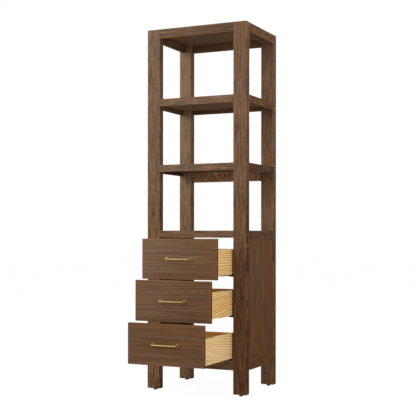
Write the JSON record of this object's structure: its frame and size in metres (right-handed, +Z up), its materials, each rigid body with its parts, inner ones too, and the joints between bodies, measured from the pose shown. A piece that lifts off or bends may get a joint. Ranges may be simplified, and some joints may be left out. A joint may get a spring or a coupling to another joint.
{
  "type": "storage cabinet",
  "caption": "Tall narrow wooden tower with open shelves above a drawer base, its drawers standing open on concealed slides, with brass bar pulls and levelling feet.",
  "frame": {"origin": "on the floor under the centre of the four posts' footprint, at the level of the undersides of the levelling glides", "axes": "+Z up, +X to the cabinet's right as seen from the front, +Y to its back; the drawers open towards -Y"},
  "size_m": [0.6, 0.829, 2.01],
  "materials": {
    "stained_oak": "brown stain over open straight grain, satin lacquer",
    "pale_pine": "unstained planed softwood, matt lacquer",
    "pale_ply": "unstained thin plywood, matt",
    "slide_steel": "black satin coating on folded sheet",
    "brushed_brass": "fine brushed, lightly lacquered",
    "glide_plastic": "dark moulded foot on a steel stud",
    "insert_steel": "plain zinc plated bush"
  },
  "bodies": {
    "cabinet": {"post_front_left": "stained_oak", "post_front_right": "stained_oak", "post_rear_left": "stained_oak", "post_rear_right": "stained_oak", "top_panel": "stained_oak", "top_front_rail": "stained_oak", "top_rear_rail": "stained_oak", "top_side_rails": "stained_oak", "upper_shelf_panel": "stained_oak", "upper_shelf_front_rail": "stained_oak", "upper_shelf_rear_rail": "stained_oak", "upper_shelf_side_rails": "stained_oak", "lower_shelf_panel": "stained_oak", "lower_shelf_front_rail": "stained_oak", "lower_shelf_rear_rail": "stained_oak", "lower_shelf_side_rails": "stained_oak", "deck_panel": "stained_oak", "deck_front_rail": "stained_oak", "deck_rear_rail": "stained_oak", "deck_side_rails": "stained_oak", "side_panel_left": "stained_oak", "side_panel_right": "stained_oak", "base_front_rail": "stained_oak", "base_rear_rail": "stained_oak", "base_side_rails": "stained_oak", "runner_rails_top": "stained_oak", "runner_rails_middle": "stained_oak", "runner_rails_bottom": "stained_oak", "levelling_glides": "glide_plastic", "glide_inserts": "insert_steel", "slide_cabinet_members_top": "slide_steel", "slide_cabinet_members_middle": "slide_steel", "slide_cabinet_members_bottom": "slide_steel"},
    "drawer_top": {"drawer_front_top": "stained_oak", "box_front_top": "pale_pine", "box_side_left_top": "pale_pine", "box_side_right_top": "pale_pine", "box_back_top": "pale_pine", "box_bottom_top": "pale_ply", "bar_pull_top": "brushed_brass", "slide_drawer_members_top": "slide_steel"},
    "slide_middles_top": {"slide_middle_members_top": "slide_steel"},
    "drawer_middle": {"drawer_front_middle": "stained_oak", "box_front_middle": "pale_pine", "box_side_left_middle": "pale_pine", "box_side_right_middle": "pale_pine", "box_back_middle": "pale_pine", "box_bottom_middle": "pale_ply", "bar_pull_middle": "brushed_brass", "slide_drawer_members_middle": "slide_steel"},
    "slide_middles_middle": {"slide_middle_members_middle": "slide_steel"},
    "drawer_bottom": {"drawer_front_bottom": "stained_oak", "box_front_bottom": "pale_pine", "box_side_left_bottom": "pale_pine", "box_side_right_bottom": "pale_pine", "box_back_bottom": "pale_pine", "box_bottom_bottom": "pale_ply", "bar_pull_bottom": "brushed_brass", "slide_drawer_members_bottom": "slide_steel"},
    "slide_middles_bottom": {"slide_middle_members_bottom": "slide_steel"}
  },
  "joints": [
    {"name": "drawer_top_slide", "type": "slide", "parent": "cabinet", "child": "drawer_top", "axis": [0, -1, 0], "range_m": [-0.204, 0.153]},
    {"name": "slide_middles_top_travel", "type": "slide", "parent": "cabinet", "child": "slide_middles_top", "axis": [0, -1, 0], "range_m": [-0.102, 0.0765]},
    {"name": "drawer_middle_slide", "type": "slide", "parent": "cabinet", "child": "drawer_middle", "axis": [0, -1, 0], "range_m": [-0.278, 0.079]},
    {"name": "slide_middles_middle_travel", "type": "slide", "parent": "cabinet", "child": "slide_middles_middle", "axis": [0, -1, 0], "range_m": [-0.139, 0.0395]},
    {"name": "drawer_bottom_slide", "type": "slide", "parent": "cabinet", "child": "drawer_bottom", "axis": [0, -1, 0], "range_m": [-0.357, 0]},
    {"name": "slide_middles_bottom_travel", "type": "slide", "parent": "cabinet", "child": "slide_middles_bottom", "axis": [0, -1, 0], "range_m": [-0.1785, 0]}
  ],
  "couplings": [
    {"joint": "slide_middles_top_travel", "follows": "drawer_top_slide", "ratio": 0.5},
    {"joint": "slide_middles_middle_travel", "follows": "drawer_middle_slide", "ratio": 0.5},
    {"joint": "slide_middles_bottom_travel", "follows": "drawer_bottom_slide", "ratio": 0.5}
  ]
}
